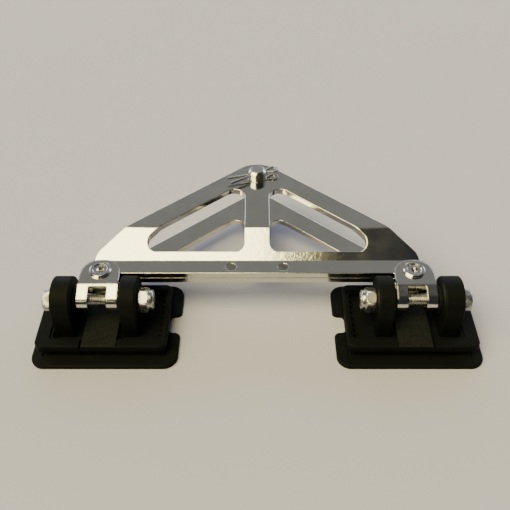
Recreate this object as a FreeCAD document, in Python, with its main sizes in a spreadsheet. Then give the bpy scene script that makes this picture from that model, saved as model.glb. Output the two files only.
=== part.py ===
"""Hinged fork bracket on two slide feet, millimetres, +Z up.

The bracket is two pressed plates welded back to back, so that they open into a fork that a
clevis pin closes. A folded strap under each end wraps a bolt, and each bolt is held by the
two lugs of a slide foot, so each foot swings about its own bolt. The origin is the middle of
the footprint, on the surface that the feet stand on. X runs along the two bolts.
"""

import FreeCAD, Part
import math
import os

import Sketcher

Vector = FreeCAD.Vector
Rotation = FreeCAD.Rotation
Placement = FreeCAD.Placement

SIZES = {
    # The bolts that the feet hinge on
    "hinge_height": 24.0,
    "bolt_radius": 4.0,
    "bolt_length": 55.0,
    "bolt_head_radius": 6.5,
    "bolt_head_height": 8.0,
    "bolt_socket_flats": 6.0,
    "bolt_socket_depth": 4.0,
    "running_gap": 0.05,
    "thread_gap": 0.01,
    "nut_flats": 13.0,
    "nut_height": 8.0,
    "nut_hex_height": 5.6,
    "nut_collar_radius": 5.9,
    "nut_lip": 0.3,
    "lock_ring_radius": 5.1,
    "lock_ring_height": 2.2,
    # The pressed plates
    "plate_thickness": 4.0,
    "seam_rise": 3.0,
    "flange_front": 14.6,
    "ear_front": 7.2,
    "ear_inner": 81.6,
    "plate_side": 96.5,
    "plate_side_round": 9.0,
    "fold_start": 24.6,
    "fold_end": 42.6,
    "fold_rise": 11.3,
    "fold_round": 3.0,
    "edge_angle": 40.3,
    "edge_distance": 83.86,
    "apex_round": 16.87,
    "leg_width": 13.2,
    "rib_half": 7.6,
    "window_front": 29.9,
    "window_round": 5.0,
    "window_tip_round": 7.0,
    "plate_edge_round": 0.4,
    "small_bevel": 0.4,
    "weld_place": 15.3,
    "weld_setback": 19.7,
    "weld_radius": 3.2,
    "weld_depth": 0.15,
    # The clevis pin and its split pin
    "pin_setback": 90.0,
    "pin_radius": 5.55,
    "pin_hole_radius": 5.62,
    "pin_stand": 6.8,
    "pin_bevel": 1.4,
    "pin_head_radius": 8.5,
    "pin_head_height": 4.0,
    "split_hole_radius": 1.7,
    "split_rise": 3.3,
    "split_wire_radius": 0.78,
    "split_turn": 22.8,
    "split_leg": 19.6,
    "split_leg_gap": 0.04,
    "split_spread": 2.1,
    "split_shoulder": 0.8,
    "split_eye": 14.8,
    "split_eye_round": 2.6,
    # The folded straps
    "strap_place": 91.1,
    "strap_half_width": 11.6,
    "strap_thickness": 2.0,
    "strap_wrap_radius": 6.3,
    "strap_bend_top": 5.7,
    "strap_bend_low": 8.8,
    "strap_slot_half": 5.3,
    "strap_slot_back": 3.4,
    "strap_taper": 11.4,
    "strap_tab_round": 10.0,
    "strap_end": 23.6,
    "strap_slot_round": 0.9,
    "strap_bend_shift": 0.19,
    "strap_bend_round": 8.0,
    # The screws that clamp the straps to the plates
    "screw_setback": 14.8,
    "screw_radius": 3.0,
    "screw_head_radius": 6.4,
    "screw_head_height": 1.5,
    "screw_recess_radius": 4.3,
    "screw_recess_depth": 0.7,
    "screw_socket_flats": 4.0,
    "screw_socket_depth": 2.6,
    "screw_short": 2.0,
    "sleeve_radius": 4.0,
    "sleeve_head_radius": 6.2,
    "sleeve_head_height": 1.6,
    "sleeve_slot_half": 0.7,
    "sleeve_short": 0.3,
    # The feet: shoe
    "foot_half_width": 31.1,
    "shoe_inward": 45.5,
    "shoe_outward": 38.1,
    "shoe_thickness": 2.5,
    "shoe_corner": 8.0,
    "shoe_edge_round": 1.1,
    "notch_half": 6.8,
    "notch_round": 2.5,
    "notch_flare": 1.8,
    "notch_under": 0.8,
    "gutter_inset": 6.2,
    "gutter_width": 1.3,
    "gutter_depth": 0.5,
    # The feet: lug block
    "block_inward": 39.6,
    "block_outward": 35.4,
    "block_half_width": 24.0,
    "block_corner": 4.5,
    "block_under": 6.8,
    "block_top": 11.3,
    "block_edge_round": 1.0,
    "neck_inset": 3.5,
    "tray_inward": 36.1,
    "tray_outward": 25.9,
    "tray_half_width": 17.6,
    "tray_floor": 7.2,
    "tray_corner": 3.0,
    "step_width": 1.6,
    "step_depth": 0.9,
    "tongue_inward": 11.1,
    "tongue_outward": 8.4,
    "tongue_groove": 0.6,
    "tongue_slot": 1.3,
    "tongue_slot_depth": 2.4,
    "rib_pitch": 4.4,
    "rib_width": 1.0,
    "rib_length": 1.5,
    "rib_top": 9.4,
    "lug_radius": 13.9,
    "lug_face": 13.7,
    "lug_width": 9.4,
    "outer_lug_width": 11.1,
    "head_sink_radius": 7.1,
    "head_sink_depth": 1.8,
    "lug_round": 1.1,
    "boss_radius": 8.6,
    "boss_height": 0.6,
    # The flanged bushes in the lugs
    "bush_radius": 5.5,
    "bush_flange_radius": 8.0,
    "bush_flange": 1.6,
    # The screws that hold a shoe to its block
    "foot_screw_radius": 2.0,
    "foot_screw_head_radius": 3.9,
    "foot_screw_head_height": 1.9,
    "foot_screw_length": 14.0,
    "foot_screw_place": 18.4,
    "foot_screw_setback": 9.0,
    "foot_screw_socket_flats": 2.5,
    "foot_screw_socket_depth": 1.4,
    "foot_screw_gap": 0.1,
    "foot_screw_bore_spare": 0.8,
}

ORIGIN_POINT = (-1, 1)
X_AXIS = -1
Y_AXIS = -2
TOUCH = 1e-3
SAME_PLACE = 0.01
OVERSHOOT = 2.0
ROOT = 0.5
HALF_FACET = 30
RIB_COUNTS = range(-3, 4)

doc = FreeCAD.newDocument("hinged_fork_bracket")
sheet = doc.addObject("Spreadsheet::Sheet", "Sizes")
sub_parts = []


class Size:
    """A number together with the sheet expression that it comes from."""

    def __init__(self, value, text):
        self.value = float(value)
        self.text = text

    def __add__(self, other):
        other = as_size(other)
        return Size(self.value + other.value, f"({self.text} + {other.text})")

    def __sub__(self, other):
        other = as_size(other)
        return Size(self.value - other.value, f"({self.text} - {other.text})")

    def __mul__(self, other):
        other = as_size(other)
        return Size(self.value * other.value, f"({self.text} * {other.text})")

    def __truediv__(self, other):
        other = as_size(other)
        return Size(self.value / other.value, f"({self.text} / {other.text})")

    def __neg__(self):
        return Size(-self.value, f"(0 - {self.text})")

    __radd__ = __add__
    __rmul__ = __mul__


def as_size(number):
    """A Size for a plain number; a Size is returned as it is."""
    if isinstance(number, Size):
        return number
    return Size(number, f"{float(number):.6f}")


def cosine(angle):
    return Size(math.cos(math.radians(angle.value)), f"cos({angle.text})")


def sine(angle):
    return Size(math.sin(math.radians(angle.value)), f"sin({angle.text})")


def fill_sheet():
    """Put each driving size into the sheet under its own alias."""
    sizes = {}
    for row, (alias, value) in enumerate(SIZES.items(), start=1):
        sheet.set(f"A{row}", alias)
        sheet.set(f"B{row}", str(value))
        sheet.setAlias(f"B{row}", alias)
        sizes[alias] = Size(value, f"Sizes.{alias}")
    doc.recompute()
    return sizes


def new_body(label):
    body = doc.addObject("PartDesign::Body", label)
    body.Label = label
    sub_parts.append(body)
    return body


def place(item, x, y, z, rotation=Rotation()):
    """Stand a sub-part in the shared frame; its place stays bound to the sheet."""
    spot = [as_size(x), as_size(y), as_size(z)]
    item.Placement = Placement(Vector(*(part.value for part in spot)), rotation)
    for axis, part in zip("xyz", spot):
        item.setExpression(f".Placement.Base.{axis}", part.text)


def new_sketch(body, name, plane, offset=0):
    """A sketch on one of the body's own origin planes, moved along that plane's normal."""
    sketch = body.newObject("Sketcher::SketchObject", name)
    support = next(item for item in body.Origin.OriginFeatures if item.Role == plane)
    sketch.AttachmentSupport = [(support, "")]
    sketch.MapMode = "FlatFace"
    offset = as_size(offset)
    sketch.AttachmentOffset = Placement(Vector(0, 0, offset.value), Rotation())
    sketch.setExpression(".AttachmentOffset.Base.z", offset.text)
    return sketch


def fix(sketch, kind, items, size):
    """Add one dimension to a sketch and bind it to the sheet."""
    index = sketch.addConstraint(Sketcher.Constraint(kind, *items, size.value))
    sketch.setExpression(f"Constraints[{index}]", size.text)


def pin_point(sketch, item, point, x, y):
    """Hold a sketch point at the place x, y."""
    for size, axis, kind in ((x, Y_AXIS, "DistanceX"), (y, X_AXIS, "DistanceY")):
        if abs(size.value) < TOUCH:
            sketch.addConstraint(Sketcher.Constraint("PointOnObject", item, point, axis))
        else:
            fix(sketch, kind, (*ORIGIN_POINT, item, point), size)


def draw_circle(sketch, x, y, radius):
    x, y, radius = as_size(x), as_size(y), as_size(radius)
    circle = Part.Circle(Vector(x.value, y.value, 0), Vector(0, 0, 1), radius.value)
    item = sketch.addGeometry(circle, False)
    pin_point(sketch, item, 3, x, y)
    fix(sketch, "Radius", (item,), radius)


def round_corner(before, corner, after):
    """Where an arc of radius 1 inside a corner starts, has its centre, and ends.

    Each is a step from the corner, to be multiplied by the real radius.
    """
    back = (before - corner).normalize()
    ahead = (after - corner).normalize()
    half = back.getAngle(ahead) / 2
    to_centre = (back + ahead).normalize() * (1 / math.sin(half))
    return back * (1 / math.tan(half)), to_centre, ahead * (1 / math.tan(half))


def draw_loop(sketch, corners):
    """A closed outline of straight sides. A corner (x, y, radius) is rounded."""
    spots = [(as_size(corner[0]), as_size(corner[1])) for corner in corners]
    radii = [as_size(corner[2]) if len(corner) > 2 else None for corner in corners]
    points = [flat_point(spot) for spot in spots]
    count = len(points)
    arcs = []
    for index, (spot, radius) in enumerate(zip(spots, radii)):
        if radius is None:
            arcs.append((spot, spot, spot))
        else:
            steps = round_corner(points[index - 1], points[index], points[(index + 1) % count])
            arcs.append([shift_spot(spot, step, radius) for step in steps])
    lines = []
    for index in range(count):
        follower = (index + 1) % count
        start = arcs[index][2]
        end = arcs[follower][0]
        line = sketch.addGeometry(Part.LineSegment(flat_point(start), flat_point(end)), False)
        pin_point(sketch, line, 1, *start)
        if radii[follower] is not None:
            pin_point(sketch, line, 2, *end)
        lines.append(line)
    for index, radius in enumerate(radii):
        before = lines[index - 1]
        after = lines[index]
        if radius is None:
            sketch.addConstraint(Sketcher.Constraint("Coincident", before, 2, after, 1))
        else:
            join_by_arc(sketch, before, after, arcs[index], radius)


def flat_point(spot):
    return Vector(spot[0].value, spot[1].value, 0)


def shift_spot(spot, step, radius):
    """A corner's place, moved by a step that is given in radii."""
    return spot[0] + radius * step.x, spot[1] + radius * step.y


def join_by_arc(sketch, before, after, spots, radius):
    """Round the corner between two lines. The arc itself always runs anticlockwise."""
    start, centre, end = (flat_point(spot) for spot in spots)
    ends = [(start, before, 2), (end, after, 1)]
    if (start - centre).cross(end - centre).z < 0:
        ends.reverse()
    bearings = [math.atan2(*reversed((point - centre)[:2])) for point, line, side in ends]
    circle = Part.Circle(centre, Vector(0, 0, 1), radius.value)
    item = sketch.addGeometry(Part.ArcOfCircle(circle, *bearings), False)
    for arc_end, (point, line, line_end) in enumerate(ends, start=1):
        joint = Sketcher.Constraint("Coincident", line, line_end, item, arc_end)
        sketch.addConstraint(joint)
    fix(sketch, "Radius", (item,), radius)


def rectangle(low_x, low_y, high_x, high_y, radius=None):
    """The corners of a rectangle for draw_loop, all rounded alike where a radius is given."""
    tail = () if radius is None else (radius,)
    return [
        (low_x, low_y, *tail),
        (high_x, low_y, *tail),
        (high_x, high_y, *tail),
        (low_x, high_y, *tail),
    ]


def six_sides(flats):
    """The corners of a hexagon of this width across its flats."""
    reach = as_size(flats).value / 2 / math.cos(math.radians(30))
    corners = []
    for step in range(6):
        turn = math.radians(60 * step)
        share_x = reach * math.cos(turn) / as_size(flats).value
        share_y = reach * math.sin(turn) / as_size(flats).value
        corners.append((flats * share_x, flats * share_y))
    return corners


def pad(body, name, sketch, length, reversed_way=False):
    """Grow material from a sketch along its normal."""
    feature = body.newObject("PartDesign::Pad", name)
    feature.Profile = sketch
    length = as_size(length)
    feature.Length = length.value
    feature.setExpression("Length", length.text)
    feature.Reversed = reversed_way
    doc.recompute()
    return feature


def cut(body, name, sketch, length, along_normal=False):
    """Take material away, against the sketch's normal or along it, and see that some went."""
    before = body.Shape.Volume
    feature = body.newObject("PartDesign::Pocket", name)
    feature.Profile = sketch
    length = as_size(length)
    feature.Length = length.value
    feature.setExpression("Length", length.text)
    feature.Reversed = along_normal
    doc.recompute()
    if body.Shape.Volume > before - TOUCH:
        raise RuntimeError(f"{body.Label}: {name} removes nothing")
    return feature


def turn(body, name, profile):
    """Turn a profile of (radius, height) corners about the body's own Z axis."""
    sketch = new_sketch(body, f"{name}_profile", "XZ_Plane")
    draw_loop(sketch, profile)
    feature = body.newObject("PartDesign::Revolution", name)
    feature.Profile = sketch
    feature.ReferenceAxis = (sketch, ["V_Axis"])
    feature.Angle = 360
    doc.recompute()
    return feature


def soften(body, name, radius, wanted, kind="Fillet"):
    """Round or bevel the edges that the test picks out."""
    base = body.Tip
    edges = enumerate(base.Shape.Edges, start=1)
    names = [f"Edge{index}" for index, edge in edges if wanted(edge)]
    if not names:
        raise RuntimeError(f"{body.Label}: {name} finds no edge")
    feature = body.newObject(f"PartDesign::{kind}", name)
    feature.Base = (base, names)
    field = "Radius" if kind == "Fillet" else "Size"
    setattr(feature, field, radius.value)
    feature.setExpression(field, radius.text)
    doc.recompute()
    return feature


def lies_at(edge, axis, value):
    """Whether an edge lies wholly at one value of x, y or z."""
    box = edge.BoundBox
    low = getattr(box, f"{axis.upper()}Min")
    high = getattr(box, f"{axis.upper()}Max")
    return abs(low - value) < SAME_PLACE and abs(high - value) < SAME_PLACE


S = fill_sheet()
edge_angle = S["edge_angle"]
edge_peak = S["edge_distance"] / cosine(edge_angle)
apex_reach = edge_peak - S["apex_round"] * (Size(1, "1") / cosine(edge_angle) - 1)
hinge_y = (S["foot_half_width"] - apex_reach) / 2
top_rise = S["seam_rise"] + S["plate_thickness"]
low_rise = S["seam_rise"] - S["plate_thickness"]
inner_seat = S["lug_face"] + S["lug_width"] + S["boss_height"]
outer_seat = S["lug_face"] + S["outer_lug_width"] - S["head_sink_depth"]


def edge_line_x(distance, y):
    """Where the line at this distance from the bolt axis's middle, along an outer edge, has y."""
    return (distance - y * cosine(edge_angle)) / sine(edge_angle)


def edge_line_y(distance, x):
    return (distance - x * sine(edge_angle)) / cosine(edge_angle)


def plate_side_profile(up):
    """A plate seen from its end: flat flange, slope, flat fork leg. `up` is 1 or -1."""
    seam = S["seam_rise"]
    face = seam + S["plate_thickness"] * up
    rise = S["fold_rise"] * up
    run = S["fold_end"] - S["fold_start"]
    slope = math.atan2(S["fold_rise"].value, run.value)
    shift = S["plate_thickness"] * math.tan(slope / 2)
    inner_round = S["fold_round"]
    outer_round = S["fold_round"] + S["plate_thickness"]
    back = edge_peak + OVERSHOOT
    return [
        (S["ear_front"] - OVERSHOOT, face),
        (S["ear_front"] - OVERSHOOT, seam),
        (S["fold_start"] + shift, seam, outer_round),
        (S["fold_end"] + shift, seam + rise, inner_round),
        (back, seam + rise),
        (back, face + rise),
        (S["fold_end"], face + rise, outer_round),
        (S["fold_start"], face, inner_round),
    ]


def plate_outline():
    """The plate's outline from above."""
    side = S["plate_side"]
    corner_y = edge_line_y(S["edge_distance"], side)
    right = [
        (S["ear_inner"], S["flange_front"], S["fold_round"]),
        (S["ear_inner"], S["ear_front"], S["fold_round"]),
        (side, S["ear_front"], S["fold_round"]),
        (side, corner_y, S["plate_side_round"]),
    ]
    left = [(-x, y, radius) for x, y, radius in reversed(right)]
    return right + [(as_size(0), edge_peak, S["apex_round"])] + left


def window_outline(side):
    """One three-sided window; side is 1 on the right and -1 on the left."""
    inner = S["edge_distance"] - S["leg_width"]
    front = S["window_front"]
    rib = S["rib_half"]
    return [
        (rib * side, front, S["window_round"]),
        (edge_line_x(inner, front) * side, front, S["window_round"]),
        (rib * side, edge_line_y(inner, rib), S["window_tip_round"]),
    ]


def make_plate(label, up):
    """One pressed plate. `up` is 1 for the upper one and -1 for its turned-over twin."""
    body = new_body(label)
    reach = S["plate_side"] + OVERSHOOT
    profile = new_sketch(body, f"{label}_side", "YZ_Plane", -reach)
    draw_loop(profile, plate_side_profile(up))
    pad(body, f"{label}_pressing", profile, reach * 2)
    tall = S["fold_rise"] + S["plate_thickness"] + OVERSHOOT
    trim = new_sketch(body, f"{label}_trim", "XY_Plane", S["seam_rise"] - tall)
    margin = reach + OVERSHOOT
    draw_loop(trim, rectangle(-margin, as_size(0), margin, edge_peak + OVERSHOOT * 2))
    draw_loop(trim, plate_outline())
    cut(body, f"{label}_blank", trim, tall * 2, along_normal=True)
    holes = new_sketch(body, f"{label}_openings", "XY_Plane", S["seam_rise"] - tall)
    for side in (-1, 1):
        draw_loop(holes, window_outline(side))
        draw_circle(holes, S["strap_place"] * side, S["screw_setback"], S["sleeve_radius"])
    draw_circle(holes, as_size(0), S["pin_setback"], S["pin_hole_radius"])
    cut(body, f"{label}_piercing", holes, tall * 2, along_normal=True)
    soften(body, f"{label}_edges", S["plate_edge_round"], is_sheet_edge(body.Tip.Shape))
    face = S["seam_rise"] + S["plate_thickness"] * up
    welds = new_sketch(body, f"{label}_welds", "XY_Plane", face)
    for side in (-1, 1):
        draw_circle(welds, S["weld_place"] * side, S["weld_setback"], S["weld_radius"])
    cut(body, f"{label}_weld_dents", welds, S["weld_depth"], along_normal=up < 0)
    place(body, 0, hinge_y, S["hinge_height"])
    return body


def is_sheet_edge(shape):
    """A test for the edges between a sheet's faces and the walls cut through it."""

    def wanted(edge):
        walls = [is_wall(face) for face in shape.ancestorsOfType(edge, Part.Face)]
        return len(walls) == 2 and walls[0] != walls[1]

    return wanted


def is_wall(face):
    """Whether a face stands upright where its middle is."""
    low_u, high_u, low_v, high_v = face.ParameterRange
    normal = face.normalAt((low_u + high_u) / 2, (low_v + high_v) / 2)
    return abs(normal.z) < SAME_PLACE


def make_clevis_pin():
    """Turned pin, head down, cross drilled near its top."""
    body = new_body("clevis_pin")
    top = S["hinge_height"] + top_rise + S["fold_rise"] + S["pin_stand"]
    head = S["pin_head_radius"]
    bevel = S["pin_bevel"]
    small = S["small_bevel"]
    turn(
        body,
        "pin_blank",
        [
            (as_size(0), as_size(0)),
            (head - small, as_size(0)),
            (head, small),
            (head, S["pin_head_height"] - small),
            (head - small, S["pin_head_height"]),
            (S["pin_radius"], S["pin_head_height"]),
            (S["pin_radius"], top - bevel),
            (S["pin_radius"] - bevel, top),
            (as_size(0), top),
        ],
    )
    hole = new_sketch(body, "pin_cross_hole", "YZ_Plane", -head)
    draw_circle(hole, as_size(0), top - S["pin_stand"] + S["split_rise"], S["split_hole_radius"])
    cut(body, "pin_cross_drilling", hole, head * 2, along_normal=True)
    spin = Rotation(Vector(0, 0, 1), S["split_turn"].value)
    place(body, 0, hinge_y + S["pin_setback"], 0, spin)


def make_split_pin():
    """Bent wire: a round eye, two legs through the pin, and their tips spread apart.

    The wire runs along X in its own frame, and its centre is in the pin's axis.
    """
    wire = S["split_wire_radius"].value
    lift = wire + S["split_leg_gap"].value / 2
    shoulder = S["pin_radius"].value + S["split_shoulder"].value
    eye_round = S["split_eye_round"].value
    eye_centre = S["split_eye"].value - eye_round - wire
    turn_in = math.asin(eye_round / (eye_centre - shoulder))
    touch_x = eye_centre - eye_round * math.sin(turn_in)
    touch_y = eye_round * math.cos(turn_in)
    legs = []
    for way in (-1, 1):
        tip = Vector(-S["split_leg"].value, way * (lift + S["split_spread"].value), 0)
        bend = Vector(-shoulder, way * lift, 0)
        neck = Vector(shoulder, way * lift, 0)
        legs.append([tip, bend, neck, Vector(touch_x, way * touch_y, 0)])
    lower, upper = legs
    far = Vector(eye_centre + eye_round, 0, 0)
    edges = [Part.LineSegment(a, b).toShape() for a, b in zip(upper, upper[1:])]
    edges.append(Part.Arc(upper[-1], far, lower[-1]).toShape())
    back = list(reversed(lower))
    edges += [Part.LineSegment(a, b).toShape() for a, b in zip(back, back[1:])]
    path = Part.Wire(edges)
    start = upper[0]
    along = (upper[1] - upper[0]).normalize()
    section = Part.Wire(Part.makeCircle(wire, start, along))
    shape = path.makePipeShell([section], True, False, 2)
    item = doc.addObject("Part::Feature", "split_pin")
    item.Label = "split_pin"
    item.Shape = shape
    height = S["hinge_height"] + top_rise + S["fold_rise"] + S["split_rise"]
    spin = Rotation(Vector(0, 0, 1), S["split_turn"].value)
    place(item, 0, hinge_y + S["pin_setback"], height, spin)
    sub_parts.append(item)


def strap_section(offset):
    """Half sections of the strap's outside (offset 0) or inside (offset its thickness).

    The wrap is a circle about the bolt. Each leaf leaves it along a tangent and bends level
    against its plate, so a leaf's slope follows from the wrap, the plate and the bend's place.
    """
    radius = S["strap_wrap_radius"] - offset
    top = top_rise + S["strap_thickness"] - offset
    low = low_rise - S["strap_thickness"] + offset
    return radius, top, low


def leaf_touch(radius, run, rise):
    """Tangent point on a circle about the origin of the line to the point (run, rise)."""
    distance = math.hypot(run, rise)
    bearing = math.atan2(rise, run)
    opening = math.acos(radius / distance)
    side = 1 if rise > 0 else -1
    angle = bearing + side * opening
    return radius * math.cos(angle), radius * math.sin(angle)


def strap_wedge(offset, back):
    """The region between the leaves' faces, from the wrap to `back`."""
    radius, top, low = strap_section(offset)
    slope_shift = offset * S["strap_bend_shift"]
    bend_top = S["strap_bend_top"] + slope_shift
    bend_low = S["strap_bend_low"] + slope_shift
    up_y, up_z = leaf_touch(radius.value, bend_top.value, top.value)
    down_y, down_z = leaf_touch(radius.value, bend_low.value, low.value)
    bend_round = S["strap_bend_round"] - offset
    return [
        (as_size(up_y), as_size(up_z)),
        (as_size(down_y), as_size(down_z)),
        (bend_low, low),
        (back, low),
        (back, top),
        (bend_top, top, bend_round),
    ]


def make_strap(label, side):
    """Sheet folded round the bolt, slotted into two knuckles, with a screw hole in each leaf."""
    body = new_body(label)
    half = S["strap_half_width"]
    end = S["strap_end"]
    thick = S["strap_thickness"]
    outer = new_sketch(body, f"{label}_wrap", "YZ_Plane", -half)
    draw_circle(outer, 0, 0, S["strap_wrap_radius"])
    pad(body, f"{label}_roll", outer, half * 2)
    wedge = new_sketch(body, f"{label}_leaves", "YZ_Plane", -half)
    draw_loop(wedge, strap_wedge(as_size(0), end))
    pad(body, f"{label}_fold", wedge, half * 2)
    inner = new_sketch(body, f"{label}_gap", "YZ_Plane", -half)
    draw_loop(inner, strap_wedge(thick, end + OVERSHOOT))
    cut(body, f"{label}_mouth", inner, half * 2, along_normal=True)
    eye = new_sketch(body, f"{label}_eye", "YZ_Plane", -half)
    draw_circle(eye, 0, 0, S["bolt_radius"] + S["running_gap"])
    cut(body, f"{label}_bore", eye, half * 2, along_normal=True)
    deep = S["strap_wrap_radius"] + top_rise + OVERSHOOT
    front = -S["strap_wrap_radius"] - OVERSHOOT
    plan = new_sketch(body, f"{label}_plan", "XY_Plane", -deep)
    margin = half + OVERSHOOT
    draw_loop(plan, rectangle(-margin, front - OVERSHOOT, margin, end + OVERSHOOT * 2))
    tab = S["strap_tab_round"]
    tab_round = tab - S["small_bevel"]
    draw_loop(
        plan,
        [
            (-half, front),
            (half, front),
            (half, S["strap_taper"]),
            (tab, end, tab_round),
            (-tab, end, tab_round),
            (-half, S["strap_taper"]),
        ],
    )
    cut(body, f"{label}_tab", plan, deep * 2, along_normal=True)
    holes = new_sketch(body, f"{label}_holes", "XY_Plane", -deep)
    slot = S["strap_slot_half"]
    draw_loop(holes, rectangle(-slot, front, slot, S["strap_slot_back"], S["strap_slot_round"]))
    draw_circle(holes, 0, S["screw_setback"], S["sleeve_radius"])
    cut(body, f"{label}_piercing", holes, deep * 2, along_normal=True)
    place(body, S["strap_place"] * side, hinge_y, S["hinge_height"])


def make_strap_screw(label, side):
    """Low-headed socket screw, down through strap and plates into the sleeve nut."""
    body = new_body(label)
    head = S["screw_head_height"]
    round_off = S["small_bevel"]
    grip = top_rise - low_rise + S["strap_thickness"] * 2
    turn(
        body,
        f"{label}_blank",
        [
            (as_size(0), S["screw_short"] - grip),
            (S["screw_radius"], S["screw_short"] - grip),
            (S["screw_radius"], as_size(0)),
            (S["screw_head_radius"], as_size(0)),
            (S["screw_head_radius"], head - round_off * 2),
            (S["screw_head_radius"] - round_off * 2, head),
            (S["screw_recess_radius"], head),
            (S["screw_recess_radius"] - round_off, head - S["screw_recess_depth"]),
            (as_size(0), head - S["screw_recess_depth"]),
        ],
    )
    socket = new_sketch(body, f"{label}_socket", "XY_Plane", head - S["screw_recess_depth"])
    draw_loop(socket, six_sides(S["screw_socket_flats"]))
    cut(body, f"{label}_drive", socket, S["screw_socket_depth"])
    height = S["hinge_height"] + top_rise + S["strap_thickness"]
    place(body, S["strap_place"] * side, hinge_y + S["screw_setback"], height)


def make_sleeve_nut(label, side):
    """Sleeve nut: its barrel lines the holes, and its flat head is under the lower leaf."""
    body = new_body(label)
    head = S["sleeve_head_height"]
    barrel = S["sleeve_radius"] - S["running_gap"]
    grip = top_rise - low_rise + S["strap_thickness"] * 2
    bevel = S["small_bevel"]
    turn(
        body,
        f"{label}_blank",
        [
            (S["screw_radius"], -head),
            (S["sleeve_head_radius"] - bevel, -head),
            (S["sleeve_head_radius"], -head + bevel),
            (S["sleeve_head_radius"], as_size(0)),
            (barrel, as_size(0)),
            (barrel, grip - S["sleeve_short"]),
            (S["screw_radius"], grip - S["sleeve_short"]),
        ],
    )
    slot = new_sketch(body, f"{label}_slot", "XY_Plane", -head)
    reach = S["sleeve_head_radius"] + OVERSHOOT
    half = S["sleeve_slot_half"]
    draw_loop(slot, rectangle(-reach, -half, reach, half))
    cut(body, f"{label}_driver_slot", slot, head * 0.5, along_normal=True)
    height = S["hinge_height"] + low_rise - S["strap_thickness"]
    place(body, S["strap_place"] * side, hinge_y + S["screw_setback"], height)


def foot_turn(side):
    """The left foot is the right one turned half round, since both are alike front to back."""
    return Rotation(Vector(0, 0, 1), 0 if side > 0 else 180)


def bolt_turn(side):
    """Stand a fastener's own +Z along the outward end of the bolt axis."""
    return Rotation(Vector(0, 1, 0), 90 * side)


def make_shoe(label, side):
    """Thin slide plate with a notch in its inward side and a gutter inside its lip."""
    body = new_body(label)
    base = new_sketch(body, f"{label}_plan", "XY_Plane")
    inward, outward = -S["shoe_inward"], S["shoe_outward"]
    half = S["foot_half_width"]
    notch = S["notch_half"]
    notch_end = S["notch_under"] - S["block_inward"]
    corner = S["shoe_corner"]
    edge_round = S["notch_round"]
    draw_loop(base, rectangle(inward, -half, outward, half, corner))
    pad(body, f"{label}_plate", base, S["shoe_thickness"])
    lip = is_outer_rim(body, S["shoe_thickness"].value)
    soften(body, f"{label}_lip", S["shoe_edge_round"], lip)
    bay = new_sketch(body, f"{label}_notch_plan", "XY_Plane")
    flare = S["notch_flare"]
    draw_loop(
        bay,
        [
            (inward - flare, -notch - flare * 2),
            (inward + flare, -notch, flare * 2),
            (notch_end, -notch, edge_round),
            (notch_end, notch, edge_round),
            (inward + flare, notch, flare * 2),
            (inward - flare, notch + flare * 2),
        ],
    )
    cut(body, f"{label}_notch", bay, S["shoe_thickness"], along_normal=True)
    gutter = new_sketch(body, f"{label}_gutter_plan", "XY_Plane", S["shoe_thickness"])
    inset = S["gutter_inset"]
    wide = S["gutter_width"]
    for step in (inset, inset + wide):
        ring = rectangle(inward + step, -half + step, outward - step, half - step, corner - step)
        draw_loop(gutter, ring)
    cut(body, f"{label}_gutter", gutter, S["gutter_depth"])
    screws = new_sketch(body, f"{label}_screw_holes", "XY_Plane")
    for x, y in foot_screw_places():
        draw_circle(screws, x, y, S["foot_screw_radius"] + S["foot_screw_gap"])
    cut(body, f"{label}_drilling", screws, S["shoe_thickness"], along_normal=True)
    soften(body, f"{label}_sink", S["foot_screw_head_height"], is_hole_mouth(0), "Chamfer")
    place(body, S["strap_place"] * side, hinge_y, 0, foot_turn(side))


def is_hole_mouth(height):
    """A test for the screw holes' lower edges."""
    limit = S["foot_screw_head_radius"].value

    def wanted(edge):
        return lies_at(edge, "z", height) and edge.isClosed() and edge.Curve.Radius < limit

    return wanted


def is_outer_rim(body, height):
    """A test for the edges at this height of the outline that bounds the whole body."""
    face = max(
        (f for f in body.Tip.Shape.Faces if abs(f.BoundBox.ZMin - height) < SAME_PLACE),
        key=lambda f: f.BoundBox.DiagonalLength,
    )
    rim = face.OuterWire.Edges

    def wanted(edge):
        return any(edge.isSame(other) or same_place(edge, other) for other in rim)

    return wanted


def same_place(edge, other):
    return edge.CenterOfMass.distanceToPoint(other.CenterOfMass) < SAME_PLACE


def foot_screw_places():
    """The four screws stand under the two lugs."""
    place_x = S["foot_screw_place"]
    place_y = S["foot_screw_setback"]
    return [(place_x * across, place_y * along) for across in (-1, 1) for along in (-1, 1)]


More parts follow.
